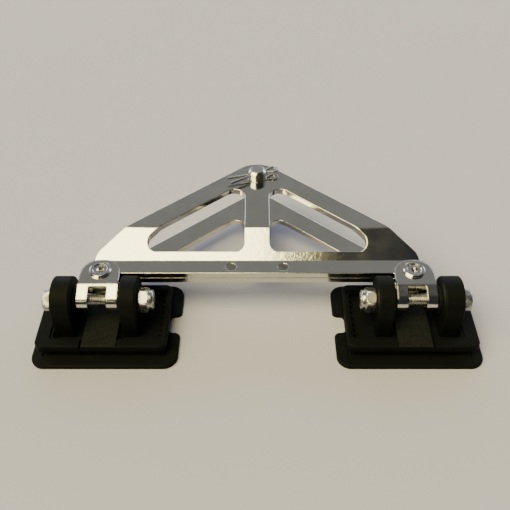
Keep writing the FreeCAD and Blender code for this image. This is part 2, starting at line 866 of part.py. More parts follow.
def make_lug_block(label, side):
    """Moulded block: neck, flat rim, sunk tray, centre tongue and two tall lugs."""
    body = new_body(label)
    inward, outward = -S["block_inward"], S["block_outward"]
    half = S["block_half_width"]
    inset = S["neck_inset"]
    neck = new_sketch(body, f"{label}_neck_plan", "XY_Plane", S["shoe_thickness"])
    neck_corner = S["block_corner"] * 0.5
    draw_loop(
        neck,
        rectangle(inward + inset, -half + inset, outward - inset, half - inset, neck_corner),
    )
    pad(body, f"{label}_neck", neck, S["block_under"] - S["shoe_thickness"])
    deck = new_sketch(body, f"{label}_deck_plan", "XY_Plane", S["block_under"])
    draw_loop(deck, rectangle(inward, -half, outward, half, S["block_corner"]))
    pad(body, f"{label}_deck", deck, S["block_top"] - S["block_under"])
    rim = is_outer_rim(body, S["block_top"].value)
    soften(body, f"{label}_deck_round", S["block_edge_round"], rim)
    cut_tray(body, label)
    grow_floor_ribs(body, label)
    cut_beside_tongue(body, label)
    grow_lug(body, f"{label}_lug_inner", -1, S["lug_width"])
    grow_lug(body, f"{label}_lug_outer", 1, S["outer_lug_width"])
    grow_boss(body, label)
    sink_bolt_head(body, label)
    bore_lugs(body, label)
    holes = new_sketch(body, f"{label}_screw_holes", "XY_Plane", S["shoe_thickness"])
    for x, y in foot_screw_places():
        draw_circle(holes, x, y, S["foot_screw_radius"])
    depth = S["foot_screw_length"] - S["shoe_thickness"] + S["foot_screw_bore_spare"]
    cut(body, f"{label}_tapping", holes, depth, along_normal=True)
    place(body, S["strap_place"] * side, hinge_y, 0, foot_turn(side))


def cut_tray(body, label):
    """The stepped tray in the deck."""
    low_x, high_x = -S["tray_inward"], S["tray_outward"]
    half = S["tray_half_width"]
    wide = S["step_width"]
    corner = S["tray_corner"]
    step = new_sketch(body, f"{label}_step_plan", "XY_Plane", S["block_top"])
    draw_loop(step, rectangle(low_x - wide, -half - wide, high_x + wide, half + wide, corner))
    cut(body, f"{label}_step", step, S["step_depth"])
    tray = new_sketch(body, f"{label}_tray_plan", "XY_Plane", S["block_top"])
    draw_loop(tray, rectangle(low_x, -half, high_x, half, corner))
    cut(body, f"{label}_tray", tray, S["block_top"] - S["tray_floor"])


def grow_floor_ribs(body, label):
    """The tongue between the lugs, level with the rim, and a row of short ribs beside the nut."""
    half = S["block_half_width"] - S["block_edge_round"]
    tongue = new_sketch(body, f"{label}_tongue_plan", "XY_Plane", S["tray_floor"] - ROOT)
    draw_loop(tongue, rectangle(-S["tongue_inward"], -half, S["tongue_outward"], half))
    pad(body, f"{label}_tongue", tongue, S["block_top"] - S["tray_floor"] + ROOT)
    ribs = new_sketch(body, f"{label}_rib_plan", "XY_Plane", S["tray_floor"] - ROOT)
    start = -S["tray_inward"] - ROOT
    end = start + S["rib_length"] + ROOT
    for count in RIB_COUNTS:
        middle = S["rib_pitch"] * count
        wide = S["rib_width"] / 2
        draw_loop(ribs, rectangle(start, middle - wide, end, middle + wide))
    pad(body, f"{label}_ribs", ribs, S["rib_top"] - S["tray_floor"] + ROOT)


def cut_beside_tongue(body, label):
    """An open slot on the tongue's outward side and a fine groove on its inward side."""
    near = S["tray_half_width"]
    far = S["block_half_width"] + OVERSHOOT
    sides = (
        ("slot", S["tongue_outward"], S["tongue_slot"], S["tongue_slot_depth"]),
        ("groove", -S["tongue_inward"] - S["tongue_groove"], S["tongue_groove"], S["tongue_groove"]),
    )
    for name, start, wide, depth in sides:
        sketch = new_sketch(body, f"{label}_{name}_plan", "XY_Plane", S["block_top"])
        draw_loop(sketch, rectangle(start, -far, start + wide, -near))
        draw_loop(sketch, rectangle(start, near, start + wide, far))
        cut(body, f"{label}_{name}", sketch, depth)


def grow_lug(body, name, way, width):
    """One lug, round about the bolt axis and straight down to the tray floor."""
    near = S["lug_face"]
    start = near if way > 0 else -(near + width)
    radius = S["lug_radius"]
    foot = S["tray_floor"] - ROOT
    upright = new_sketch(body, f"{name}_upright_plan", "YZ_Plane", start)
    draw_loop(upright, rectangle(-radius, foot, radius, S["hinge_height"]))
    pad(body, f"{name}_upright", upright, width)
    head = new_sketch(body, f"{name}_head_plan", "YZ_Plane", start)
    draw_circle(head, 0, S["hinge_height"], radius)
    pad(body, f"{name}_head", head, width)
    far = near + width
    top = S["block_top"].value + ROOT
    faces = (way * near.value, way * far.value)

    def is_lug_rim(edge):
        return edge.BoundBox.ZMax > top and any(lies_at(edge, "x", face) for face in faces)

    soften(body, f"{name}_round", S["lug_round"], is_lug_rim)


def grow_boss(body, label):
    """The low boss that the nut bears on."""
    start = -(S["lug_face"] + S["lug_width"] + S["boss_height"])
    boss = new_sketch(body, f"{label}_boss_plan", "YZ_Plane", start)
    draw_circle(boss, 0, S["hinge_height"], S["boss_radius"])
    pad(body, f"{label}_boss", boss, S["boss_height"])


def sink_bolt_head(body, label):
    """The shallow recess that the bolt's head sits in."""
    face = S["lug_face"] + S["outer_lug_width"]
    sink = new_sketch(body, f"{label}_sink_plan", "YZ_Plane", face)
    draw_circle(sink, 0, S["hinge_height"], S["head_sink_radius"])
    cut(body, f"{label}_sink", sink, S["head_sink_depth"])


def bore_lugs(body, label):
    """The bores for the bushes, through both lugs."""
    reach = S["lug_face"] + S["outer_lug_width"] + OVERSHOOT
    bore = new_sketch(body, f"{label}_bore_plan", "YZ_Plane", -reach)
    draw_circle(bore, 0, S["hinge_height"], S["bush_radius"])
    cut(body, f"{label}_bore", bore, reach * 2, along_normal=True)


def make_bush(label, side, way):
    """Flanged plain bush; its flange faces the strap."""
    body = new_body(label)
    hole = S["bolt_radius"] + S["running_gap"]
    flange = S["bush_flange"]
    bevel = S["small_bevel"]
    length = inner_seat if way < 0 else outer_seat
    length = length - S["lug_face"]
    turn(
        body,
        f"{label}_blank",
        [
            (hole, -flange),
            (S["bush_flange_radius"] - bevel, -flange),
            (S["bush_flange_radius"], -flange + bevel),
            (S["bush_flange_radius"], as_size(0)),
            (S["bush_radius"], as_size(0)),
            (S["bush_radius"], length),
            (hole, length),
        ],
    )
    x = (S["strap_place"] + S["lug_face"] * way) * side
    place(body, x, hinge_y, S["hinge_height"], bolt_turn(side * way))


def make_bolt(label, side):
    """Socket cap screw, head at the outward end."""
    body = new_body(label)
    head = S["bolt_head_height"]
    bevel = S["small_bevel"]
    turn(
        body,
        f"{label}_blank",
        [
            (as_size(0), -S["bolt_length"]),
            (S["bolt_radius"] - bevel * 2, -S["bolt_length"]),
            (S["bolt_radius"], -S["bolt_length"] + bevel * 2),
            (S["bolt_radius"], as_size(0)),
            (S["bolt_head_radius"], as_size(0)),
            (S["bolt_head_radius"], head - bevel * 2),
            (S["bolt_head_radius"] - bevel * 2, head),
            (as_size(0), head),
        ],
    )
    socket = new_sketch(body, f"{label}_socket", "XY_Plane", head)
    draw_loop(socket, six_sides(S["bolt_socket_flats"]))
    cut(body, f"{label}_drive", socket, S["bolt_socket_depth"])
    place(body, (S["strap_place"] + outer_seat) * side, hinge_y, S["hinge_height"], bolt_turn(side))


def make_nut(label, side):
    """Lock nut: a hexagon that bears on the lug, and a round collar with room for the ring."""
    body = new_body(label)
    height = S["nut_height"]
    hexagon = new_sketch(body, f"{label}_hexagon", "XY_Plane")
    draw_loop(hexagon, six_sides(S["nut_flats"]))
    pad(body, f"{label}_hex", hexagon, S["nut_hex_height"])
    collar = new_sketch(body, f"{label}_collar_plan", "XY_Plane")
    draw_circle(collar, 0, 0, S["nut_collar_radius"])
    pad(body, f"{label}_collar", collar, height)
    hole = new_sketch(body, f"{label}_hole_plan", "XY_Plane")
    draw_circle(hole, 0, 0, S["bolt_radius"] + S["thread_gap"])
    cut(body, f"{label}_hole", hole, height, along_normal=True)
    lip = S["nut_lip"]
    seat = new_sketch(body, f"{label}_ring_seat", "XY_Plane", height - lip)
    draw_circle(seat, 0, 0, S["lock_ring_radius"])
    cut(body, f"{label}_ring_groove", seat, S["lock_ring_height"])
    mouth = new_sketch(body, f"{label}_mouth_plan", "XY_Plane", height)
    draw_circle(mouth, 0, 0, S["lock_ring_radius"] - lip)
    cut(body, f"{label}_mouth", mouth, lip)
    x = (S["strap_place"] - inner_seat) * side
    tilt = Rotation(Vector(1, 0, 0), HALF_FACET)
    place(body, x, hinge_y, S["hinge_height"], tilt * bolt_turn(-side))


def make_lock_ring(label, side):
    """The soft ring that grips the bolt's thread inside the nut's collar."""
    body = new_body(label)
    height = S["lock_ring_height"]
    plan = new_sketch(body, f"{label}_plan", "XY_Plane")
    draw_circle(plan, 0, 0, S["lock_ring_radius"])
    draw_circle(plan, 0, 0, S["bolt_radius"] + S["thread_gap"])
    pad(body, f"{label}_ring", plan, height)
    outset = inner_seat + S["nut_height"] - S["nut_lip"] - height
    x = (S["strap_place"] - outset) * side
    place(body, x, hinge_y, S["hinge_height"], bolt_turn(-side))


def make_foot_screws(label, side):
    """Four countersunk screws, up through the shoe into the lugs, as separate solids."""
    screws = []
    for index, (x, y) in enumerate(foot_screw_places(), start=1):
        screws.append(make_foot_screw(f"{label}_{index}", x, y))
    group = doc.addObject("Part::Compound", label)
    group.Label = label
    group.Links = screws
    doc.recompute()
    place(group, S["strap_place"] * side, hinge_y, 0, foot_turn(side))
    sub_parts.append(group)


def make_foot_screw(name, x, y):
    """One countersunk socket screw, head down at the shoe's sole."""
    head = doc.addObject("Part::Cone", f"{name}_head")
    head.setExpression("Radius1", S["foot_screw_head_radius"].text)
    head.setExpression("Radius2", S["foot_screw_radius"].text)
    head.setExpression("Height", S["foot_screw_head_height"].text)
    shank = doc.addObject("Part::Cylinder", f"{name}_shank")
    shank.setExpression("Radius", S["foot_screw_radius"].text)
    shank.setExpression("Height", S["foot_screw_length"].text)
    solid = doc.addObject("Part::Fuse", f"{name}_solid")
    solid.Base = head
    solid.Tool = shank
    socket = doc.addObject("Part::Prism", f"{name}_socket")
    socket.Polygon = 6
    socket.setExpression("Circumradius", (S["foot_screw_socket_flats"] / math.sqrt(3)).text)
    socket.setExpression("Height", S["foot_screw_socket_depth"].text)
    screw = doc.addObject("Part::Cut", name)
    screw.Base = solid
    screw.Tool = socket
    doc.recompute()
    place(screw, x, y, S["foot_screw_gap"])
    doc.recompute()
    return screw


def make_foot(name, side):
    """Everything that swings with one foot. `side` is 1 on the right and -1 on the left."""
    make_shoe(f"{name}_slide_shoe", side)
    make_lug_block(f"{name}_lug_block", side)
    make_foot_screws(f"{name}_shoe_screws", side)
    make_bush(f"{name}_inner_bush", side, -1)
    make_bush(f"{name}_outer_bush", side, 1)
    make_bolt(f"{name}_pivot_bolt", side)
    make_nut(f"{name}_lock_nut", side)
    make_lock_ring(f"{name}_lock_ring", side)


def check_document():
    """Stop if any object failed, or if a sub-part has no sound shape."""
    for item in doc.Objects:
        if {"Invalid", "Error"} & set(item.State):
            raise RuntimeError(f"{item.Label} failed: {item.State}")
    for item in sub_parts:
        shape = item.Shape
        if shape.isNull() or not shape.isValid() or not shape.Solids:
            raise RuntimeError(f"{item.Label} has no sound shape")


def write_parts():
    os.makedirs("parts", exist_ok=True)
    for item in sub_parts:
        item.Shape.exportStep(f"parts/{item.Label}.step")


make_plate("upper_plate", 1)
make_plate("lower_plate", -1)
make_clevis_pin()
make_split_pin()
for side_name, side_sign in (("left", -1), ("right", 1)):
    make_strap(f"{side_name}_hinge_strap", side_sign)
    make_strap_screw(f"{side_name}_strap_screw", side_sign)
    make_sleeve_nut(f"{side_name}_sleeve_nut", side_sign)
    make_foot(side_name, side_sign)
doc.recompute()
check_document()
write_parts()
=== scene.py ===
"""Looks for the hinged headboard slide bracket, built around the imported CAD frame, in metres."""

import math

import bmesh
import bpy
from mathutils import Matrix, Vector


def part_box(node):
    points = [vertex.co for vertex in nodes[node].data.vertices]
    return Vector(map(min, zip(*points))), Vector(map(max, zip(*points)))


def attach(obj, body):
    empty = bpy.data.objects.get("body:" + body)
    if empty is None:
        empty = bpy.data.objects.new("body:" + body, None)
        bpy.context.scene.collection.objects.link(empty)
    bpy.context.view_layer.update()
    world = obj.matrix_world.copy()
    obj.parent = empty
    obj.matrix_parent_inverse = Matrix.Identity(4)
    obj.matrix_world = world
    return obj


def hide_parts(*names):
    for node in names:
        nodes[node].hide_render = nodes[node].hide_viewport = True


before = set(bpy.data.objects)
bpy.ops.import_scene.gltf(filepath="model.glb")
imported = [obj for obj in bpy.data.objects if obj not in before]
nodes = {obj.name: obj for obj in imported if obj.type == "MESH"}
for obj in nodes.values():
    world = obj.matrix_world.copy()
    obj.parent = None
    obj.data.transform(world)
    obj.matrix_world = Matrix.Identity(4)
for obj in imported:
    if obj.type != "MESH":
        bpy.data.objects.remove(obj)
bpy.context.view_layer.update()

MM = 0.001
CAMERA_PLACE = (0.0, -0.2929, 0.3127)
CAMERA_TILT = 45.5
CAMERA_LENS = 47.294
CAMERA_SHIFT = (-0.0043, -0.0020)
FLOOR_HALF = 3.0

# The room as seen along each direction. A pair is where a soft edge starts and where it ends.
WINDOW_GLOW = (2.9, 3.2, 3.6)
WINDOW_BACK = (0.30, 0.62)
WINDOW_SILL = (0.06, 0.16)
WINDOW_TOP = (0.56, 0.44)
PANEL_GLOW = (9.0, 8.0, 3.9)
PANEL_RIGHT = (0.062, 0.0)
PANEL_LOW = (0.46, 0.62)
PANEL_BACK = (0.16, 0.0)
VIEWER_WAY = (0.0, -0.70, 0.71)
VIEWER_SHADE = (0.962, 0.925)
WALL_TURN = (-0.12, 0.20)
FRONT_WALL = (0.036, 0.038, 0.046)
BACK_WALL = (0.280, 0.278, 0.268)

# Places on the part, from the frame. WELD is how far out, how far back and the radius;
# TONGUE is its inner and outer edge from the strap's middle, and the height it starts at.
HINGE_Y = (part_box("left_pivot_bolt")[0].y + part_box("left_pivot_bolt")[1].y) / 2
HINGE_Z = (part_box("left_pivot_bolt")[0].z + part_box("left_pivot_bolt")[1].z) / 2
STRAP_X = (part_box("right_hinge_strap")[0].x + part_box("right_hinge_strap")[1].x) / 2
WELD = (15.3 * MM, HINGE_Y + 19.7 * MM, 3.4 * MM)
TONGUE = (-11.1 * MM, 8.4 * MM, 10.9 * MM)
TONGUE_DEPTH = 1.2 * MM

# Colours, linear.
PLASTIC_SPECULAR = 0.07
STAIN_BROWN = (0.07, 0.055, 0.035)
STEEL_DARK = (0.60, 0.59, 0.535)
STEEL_LIGHT = (0.67, 0.66, 0.61)
BOLT_STEEL = (0.42, 0.415, 0.405)
PIN_STEEL = (0.60, 0.59, 0.57)
WIRE_STEEL = (0.35, 0.36, 0.40)
TONGUE_GREY = (0.014, 0.0155, 0.0145)
DUST_GREY = (0.05, 0.051, 0.05)
BLOCK_BLACK = (0.0028, 0.0033, 0.0036)
BLOCK_WORN = (0.011, 0.012, 0.013)
BUSH_BLACK = (0.0035, 0.004, 0.0045)
BUSH_WORN = (0.012, 0.013, 0.014)
NYLON_DARK = (0.52, 0.55, 0.62)
NYLON_LIGHT = (0.70, 0.71, 0.74)
PAPER_DARK = (0.455, 0.45, 0.565)
PAPER_LIGHT = (0.475, 0.47, 0.585)

# Sizes of the turned pieces.
BOLT_RADIUS = 4.0 * MM
BOLT_HEAD_HEIGHT = 8.0 * MM
SOCKET_FLATS = 6.0 * MM
SOCKET_DEPTH = 4.0 * MM
THREAD_PITCH = 1.25 * MM
THREAD_DEPTH = 0.62 * MM
KNURLS = 60
KNURL_DEPTH = 0.22 * MM
NUT_SPIN = 30
SMOOTH_ANGLE = math.radians(32)
PIN_HEAD_RADIUS = 8.5 * MM
PIN_HEAD_HEIGHT = 4.0 * MM
PIN_RADIUS = 5.55 * MM
PIN_BEVEL = 1.4 * MM
PIN_EDGE = 0.4 * MM
CROSS_HOLE_RADIUS = 1.7 * MM
CROSS_HOLE_DROP = 3.5 * MM
CROSS_HOLE_TURN = math.radians(22.8)


class Graph:
    """A material's or the world's node tree, with short ways to add and join nodes."""

    def __init__(self, owner):
        owner.use_nodes = True
        self.tree = owner.node_tree
        self.tree.nodes.clear()

    def add(self, kind, inputs=None, **settings):
        """A node. A value for an input is a number, a tuple, or another node's output."""
        node = self.tree.nodes.new(kind)
        for name, value in settings.items():
            setattr(node, name, value)
        for name, value in (inputs or {}).items():
            if isinstance(value, bpy.types.NodeSocket):
                self.tree.links.new(value, node.inputs[name])
            else:
                node.inputs[name].default_value = value
        return node

    def place(self):
        """Coordinates of the surface in its own body's frame, in metres."""
        return self.add("ShaderNodeTexCoord").outputs["Object"]

    def stretch(self, source, scale, turn=(0, 0, 0)):
        """Coordinates multiplied along each axis."""
        mapping = self.add("ShaderNodeMapping", {"Vector": source, "Scale": scale})
        mapping.inputs["Rotation"].default_value = [math.radians(angle) for angle in turn]
        return mapping.outputs["Vector"]

    def noise(self, source, scale, detail=2.0, rough=0.5):
        """Noise from 0 to 1, with `scale` cells to the metre."""
        inputs = {"Vector": source, "Scale": scale, "Detail": detail, "Roughness": rough}
        return self.add("ShaderNodeTexNoise", inputs).outputs["Fac"]

    def span(self, source, low, high, new_low, new_high):
        """A value carried from one range to another and held inside it."""
        inputs = {"Value": source, "From Min": low, "From Max": high}
        inputs.update({"To Min": new_low, "To Max": new_high})
        return self.add("ShaderNodeMapRange", inputs).outputs["Result"]

    def sum(self, first, second, operation="ADD"):
        node = self.add("ShaderNodeMath", {0: first, 1: second}, operation=operation)
        return node.outputs[0]

    def mix(self, factor, first, second):
        """A colour between two colours."""
        node = self.add("ShaderNodeMix", data_type="RGBA")
        for index, value in ((0, factor), (6, first), (7, second)):
            if isinstance(value, bpy.types.NodeSocket):
                self.tree.links.new(value, node.inputs[index])
            else:
                node.inputs[index].default_value = value
        return node.outputs[2]

    def bump(self, height, distance, normal=None, strength=1.0):
        """A surface relief; distance is what a height of 1 stands for, in metres."""
        inputs = {"Height": height, "Distance": distance, "Strength": strength}
        if normal is not None:
            inputs["Normal"] = normal
        return self.add("ShaderNodeBump", inputs).outputs["Normal"]

    def soft_edges(self, radius):
        """Normals as if every sharp edge had this small radius."""
        return self.add("ShaderNodeBevel", {"Radius": radius}, samples=4).outputs["Normal"]

    def edge_mask(self, radius):
        """1 on edges and in corners, 0 on open faces."""
        plain = self.add("ShaderNodeNewGeometry").outputs["Normal"]
        rounded = self.soft_edges(radius)
        dot = self.add("ShaderNodeVectorMath", {0: plain, 1: rounded}, operation="DOT_PRODUCT")
        return self.span(dot.outputs["Value"], 0.98, 0.80, 0.0, 1.0)

    def shader(self, **inputs):
        """The Principled shader and the material's output."""
        named = {name.replace("_", " "): value for name, value in inputs.items()}
        shader = self.add("ShaderNodeBsdfPrincipled", named)
        output = self.add("ShaderNodeOutputMaterial")
        self.tree.links.new(shader.outputs[0], output.inputs["Surface"])


def ramp(graph, source, start, end):
    """A smooth step: 0 at start and 1 at end, which may be the lower of the two."""
    inputs = {"Value": source, "From Min": start, "From Max": end}
    node = graph.add("ShaderNodeMapRange", inputs, interpolation_type="SMOOTHSTEP")
    return node.outputs["Result"]


def product(graph, *masks):
    """All the masks multiplied together."""
    result = masks[0]
    for mask in masks[1:]:
        result = graph.sum(result, mask, "MULTIPLY")
    return result


def colour(red, green, blue):
    return (red, green, blue, 1.0)


def weld_stain(graph, place):
    """Mottled brown heat marks where the plates are spot welded: 1 where darkest."""
    parts = graph.add("ShaderNodeSeparateXYZ", {"Vector": place}).outputs
    across = graph.sum(graph.sum(parts["X"], 0.0, "ABSOLUTE"), WELD[0], "SUBTRACT")
    along = graph.sum(parts["Y"], WELD[1], "SUBTRACT")
    flat = graph.add("ShaderNodeCombineXYZ", {"X": across, "Y": along}).outputs[0]
    reach = graph.add("ShaderNodeVectorMath", {0: flat}, operation="LENGTH").outputs["Value"]
    wander = graph.span(graph.noise(place, 900, 3), 0.3, 0.7, -0.4 * MM, 0.5 * MM)
    ragged = graph.sum(reach, wander)
    disc = graph.span(ragged, WELD[2], WELD[2] * 0.8, 0.0, 1.0)
    specks = graph.span(graph.noise(place, 1500, 3, 0.7), 0.42, 0.58, 0.55, 1.0)
    return graph.sum(disc, specks, "MULTIPLY")


def polished_steel(name, edge_radius):
    """Mirror-polished stainless: orange peel, hairline scratches, dulled patches, weld marks."""
    material = bpy.data.materials.new(name)
    graph = Graph(material)
    place = graph.place()
    patches = graph.noise(place, 55, 3)
    hairs = graph.noise(graph.stretch(place, (1, 14, 14), (0, 0, 24)), 260, 4, 0.7)
    cross_hairs = graph.noise(graph.stretch(place, (12, 1, 12), (0, 0, 9)), 330, 4, 0.7)
    scratches = graph.sum(hairs, cross_hairs, "MULTIPLY")
    stain = weld_stain(graph, place)
    dull = graph.span(patches, 0.35, 0.75, 0.07, 0.13)
    marks = graph.span(scratches, 0.26, 0.42, 0.0, 0.09)
    roughness = graph.sum(graph.sum(dull, marks), graph.span(stain, 0.0, 1.0, 0.0, 0.3))
    tint = graph.mix(patches, colour(*STEEL_DARK), colour(*STEEL_LIGHT))
    browned = graph.span(stain, 0.0, 1.0, 0.0, 0.93)
    tint = graph.mix(browned, tint, colour(*STAIN_BROWN))
    peel = graph.noise(place, 330, 3, 0.6)
    normal = graph.bump(peel, 0.055 * MM, graph.soft_edges(edge_radius))
    normal = graph.bump(graph.noise(place, 1900, 2), 0.010 * MM, normal)
    normal = graph.bump(scratches, 0.006 * MM, normal)
    graph.shader(Base_Color=tint, Metallic=1.0, Roughness=roughness, Normal=normal)
    return material


def turned_steel(name, axis, base, rough=0.2):
    """Bright turned or rolled steel, with fine rings about one axis ("X" or "Z")."""
    material = bpy.data.materials.new(name)
    graph = Graph(material)
    place = graph.place()
    along = (9, 0.6, 0.6) if axis == "X" else (0.6, 0.6, 9)
    rings = graph.noise(graph.stretch(place, along), 420, 3, 0.6)
    smears = graph.noise(place, 180, 3)
    # The colour turns darker on edges and in corners.
    darker_edges = graph.span(graph.edge_mask(0.35 * MM), 0.0, 1.0, 0.0, 0.35)
    roughness = graph.span(smears, 0.3, 0.7, rough * 0.8, rough * 1.35)
    pale = [min(1.0, part * 1.12) for part in base]
    tint = graph.mix(rings, colour(*base), colour(*pale))
    tint = graph.mix(darker_edges, tint, colour(*[part * 0.55 for part in base]))
    normal = graph.bump(rings, 0.012 * MM, graph.soft_edges(0.22 * MM))
    graph.shader(Base_Color=tint, Metallic=1.0, Roughness=roughness, Normal=normal)
    return material


def tongue_mask(graph, place):
    """1 on the coarse pad that runs between the two lugs."""
    parts = graph.add("ShaderNodeSeparateXYZ", {"Vector": place}).outputs
    outward = graph.sum(graph.sum(parts["X"], 0.0, "ABSOLUTE"), STRAP_X, "SUBTRACT")
    return product(
        graph,
        graph.sum(outward, TONGUE[0], "GREATER_THAN"),
        graph.sum(outward, TONGUE[1], "LESS_THAN"),
        graph.sum(parts["Z"], TONGUE[2], "GREATER_THAN"),
        graph.sum(parts["Z"], TONGUE[2] + TONGUE_DEPTH, "LESS_THAN"),
    )


def moulded_plastic(name, base, worn, rough, relief):
    """Filled black plastic: mould grain, flow marks, dust, and edges rubbed a little paler."""
    material = bpy.data.materials.new(name)
    graph = Graph(material)
    place = graph.place()
    grain = graph.noise(place, 2600, 2, 0.55)
    coarse = graph.noise(place, 1100, 3, 0.6)
    flow = graph.noise(graph.stretch(place, (1, 2.2, 1)), 70, 4, 0.6)
    scuffs = graph.noise(graph.stretch(place, (1.5, 16, 16), (0, 0, 38)), 190, 4, 0.75)
    scuff = graph.span(scuffs, 0.62, 0.80, 0.0, 0.6)
    specks = graph.span(coarse, 0.66, 0.74, 0.0, 0.5)
    dust = product(graph, specks, graph.span(flow, 0.5, 0.66, 0.0, 1.0))
    rubbed = graph.span(flow, 0.35, 0.65, 0.25, 1.0)
    edges = graph.sum(graph.edge_mask(0.55 * MM), rubbed, "MULTIPLY")
    tongue = tongue_mask(graph, place)
    speckle = graph.span(coarse, 0.35, 0.65, 0.3, 1.0)
    tint = graph.mix(flow, colour(*base), colour(*[part * 1.5 for part in base]))
    tint = graph.mix(graph.sum(tongue, speckle, "MULTIPLY"), tint, colour(*TONGUE_GREY))
    tint = graph.mix(graph.sum(edges, scuff, "MAXIMUM"), tint, colour(*worn))
    tint = graph.mix(dust, tint, colour(*DUST_GREY))
    mottle = graph.sum(flow, grain, "MULTIPLY")
    roughness = graph.span(mottle, 0.12, 0.42, rough - 0.07, rough + 0.10)
    normal = graph.bump(grain, relief * MM, graph.soft_edges(0.4 * MM))
    normal = graph.bump(graph.sum(tongue, coarse, "MULTIPLY"), 0.16 * MM, normal)
    graph.shader(
        Base_Color=tint, Roughness=roughness, Normal=normal, Specular_IOR_Level=PLASTIC_SPECULAR
    )
    return material


def nylon():
    """The milky locking ring."""
    material = bpy.data.materials.new("milky_nylon")
    graph = Graph(material)
    cloud = graph.noise(graph.place(), 700, 3)
    tint = graph.mix(cloud, colour(*NYLON_DARK), colour(*NYLON_LIGHT))
    normal = graph.bump(cloud, 0.02 * MM, graph.soft_edges(0.3 * MM))
    roughness = graph.span(cloud, 0.3, 0.7, 0.34, 0.5)
    graph.shader(Base_Color=tint, Roughness=roughness, Normal=normal)
    return material


def floor_material():
    """Plain pale paper, a little uneven, and bluish enough to cancel the warm ceiling light."""
    material = bpy.data.materials.new("pale_paper")
    graph = Graph(material)
    place = graph.place()
    cloud = graph.noise(place, 6, 3)
    tint = graph.mix(cloud, colour(*PAPER_DARK), colour(*PAPER_LIGHT))
    normal = graph.bump(graph.noise(place, 900, 2), 0.02 * MM)
    graph.shader(Base_Color=tint, Roughness=0.75, Normal=normal)
    return material


def hexagon(flats):
    """The radius of a hexagon of this width across flats, as a function of the bearing."""
    def radius(bearing):
        step = math.pi / 3
        return flats / 2 / math.cos((bearing + step / 2) % step - step / 2)
    return radius


def face_outward(mesh):
    """Normals outward, and smooth shading with sharp edges where faces turn steeply."""
    shell = bmesh.new()
    shell.from_mesh(mesh)
    bmesh.ops.recalc_face_normals(shell, faces=shell.faces)
    shell.to_mesh(mesh)
    shell.free()
    mesh.shade_smooth()
    mesh.set_sharp_from_angle(angle=SMOOTH_ANGLE)


def lathe(name, rings, closed, count=120):
    """A mesh lofted through rings of points about +Z. A ring is (height, radius), where the
    radius is a number or a function of the bearing. A closed one joins its last ring to its
    first; any other is filled at both ends."""
    points, faces = [], []
    for height, radius in rings:
        for index in range(count):
            bearing = 2 * math.pi * index / count
            reach = radius(bearing) if callable(radius) else radius
            points.append((reach * math.cos(bearing), reach * math.sin(bearing), height))
    laps = len(rings) if closed else len(rings) - 1
    for lap in range(laps):
        first, second = lap * count, (lap + 1) % len(rings) * count
        for index in range(count):
            ahead = (index + 1) % count
            faces.append((first + index, first + ahead, second + ahead, second + index))
    if not closed:
        for base, last in ((0, False), ((len(rings) - 1) * count, True)):
            middle = len(points)
            points.append((0.0, 0.0, rings[-1 if last else 0][0]))
            for index in range(count):
                ahead = (index + 1) % count
                pair = (base + index, base + ahead)
                faces.append((*(pair if last else reversed(pair)), middle))
    mesh = bpy.data.meshes.new(name)
    mesh.from_pydata(points, [], faces)
    mesh.validate()
    face_outward(mesh)
    item = bpy.data.objects.new(name, mesh)
    bpy.context.scene.collection.objects.link(item)
    return item


def stand_on_bolt(item, x, outward, spin=0.0):
    """Turn a lathed piece's +Z along X, to the right or the left, and bake its place in."""
    turn = Matrix.Rotation(math.pi / 2 * outward, 4, "Y") @ Matrix.Rotation(spin, 4, "Z")
    item.data.transform(Matrix.Translation((x, HINGE_Y, HINGE_Z)) @ turn)


def knurl(radius):
    """A straight knurled cylinder's radius."""
    def at(bearing):
        return radius - KNURL_DEPTH * abs(math.sin(bearing * KNURLS / 2))
    return at


def thread(height):
    """A threaded shank's radius at one height."""
    def at(bearing):
        phase = (height / THREAD_PITCH - bearing / (2 * math.pi)) % 1.0
        return BOLT_RADIUS - THREAD_DEPTH * (1 - abs(2 * phase - 1))
    return at


def make_bolt(side, material):
    """Socket cap screw: knurled head, hexagon socket, cut thread."""
    node = f"{side}_pivot_bolt"
    low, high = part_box(node)
    outward = 1 if side == "right" else -1
    tip = high.x if outward > 0 else low.x
    head, length = BOLT_HEAD_HEIGHT, high.x - low.x
    radius = (high.z - low.z) / 2
    bevel = 0.5 * MM
    plain_head = radius - KNURL_DEPTH
    rings = [
        (-SOCKET_DEPTH - 0.5 * MM, 0.4 * MM),
        (-SOCKET_DEPTH, hexagon(SOCKET_FLATS * 0.98)),
        (-0.3 * MM, hexagon(SOCKET_FLATS)),
        (0.0, hexagon(SOCKET_FLATS + 0.6 * MM)),
        (0.0, plain_head - bevel),
        (-0.15 * MM, plain_head - bevel * 0.3),
        (-bevel, plain_head),
        (-bevel * 1.5, knurl(radius)),
        (-head * 0.5, knurl(radius)),
        (-head + bevel * 1.5, knurl(radius)),
        (-head + bevel, plain_head),
        (-head, plain_head),
        (-head, BOLT_RADIUS),
    ]
    turns = (length - head) / THREAD_PITCH
    steps = int(turns * 6)
    for step in range(steps + 1):
        height = -head - (length - head - bevel) * step / steps
        rings.append((height, thread(height)))
    rings.append((-length, BOLT_RADIUS - THREAD_DEPTH - 0.2 * MM))
    item = lathe(f"{side}_cap_screw", rings, closed=False)
    stand_on_bolt(item, tip, outward)
    item.data.materials.append(material)
    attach(item, f"{side}_foot")
    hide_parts(node)


